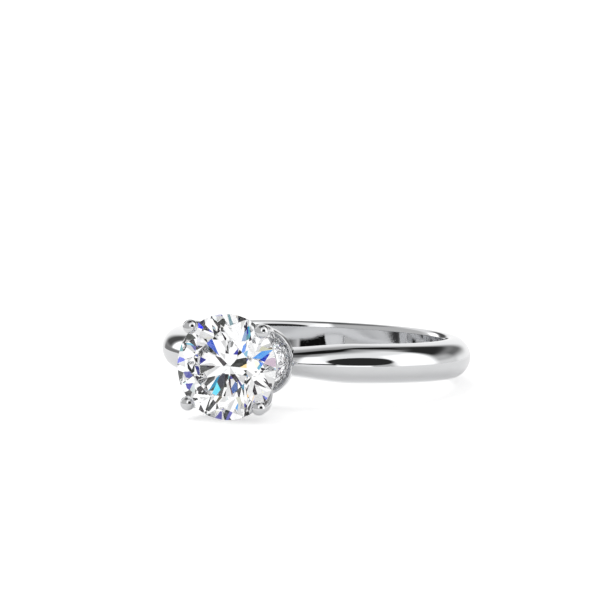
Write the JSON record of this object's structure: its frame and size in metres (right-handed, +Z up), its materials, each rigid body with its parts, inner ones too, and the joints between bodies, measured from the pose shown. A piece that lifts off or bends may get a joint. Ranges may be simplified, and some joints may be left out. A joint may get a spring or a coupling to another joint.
{
  "type": "engagement ring",
  "caption": "solitaire engagement ring: tapered polished shank and a ball-tip prong basket on a melee-set collar that holds a round brilliant, lying on a table",
  "frame": {"origin": "centre of the object's footprint on the table, with the ring lying on the stone's girdle and the back of its shank", "axes": "+Z up from the table; +Y from the stone to the back of the shank; +X to the right of the head seen from the front. The finger hole's axis leans 5.0 degrees from +Z toward +Y, as the ring lies"},
  "size_m": [0.019, 0.0254, 0.0065],
  "materials": {
    "white_gold": "mirror polished, rhodium plated",
    "centre_stone": "polished facets",
    "melee": "polished facets"
  },
  "bodies": {
    "root": {"basket_rail": "white_gold", "centre_diamond": "centre_stone", "halo_collar": "white_gold", "halo_diamond_01": "melee", "halo_diamond_02": "melee", "halo_diamond_03": "melee", "halo_diamond_04": "melee", "halo_diamond_05": "melee", "halo_diamond_06": "melee", "halo_diamond_07": "melee", "halo_diamond_08": "melee", "halo_diamond_09": "melee", "halo_diamond_10": "melee", "halo_diamond_11": "melee", "halo_diamond_12": "melee", "halo_diamond_13": "melee", "halo_diamond_14": "melee", "head_peg": "white_gold", "prong_lower_left": "white_gold", "prong_lower_right": "white_gold", "prong_upper_left": "white_gold", "prong_upper_right": "white_gold", "shank": "white_gold"}
  },
  "joints": []
}
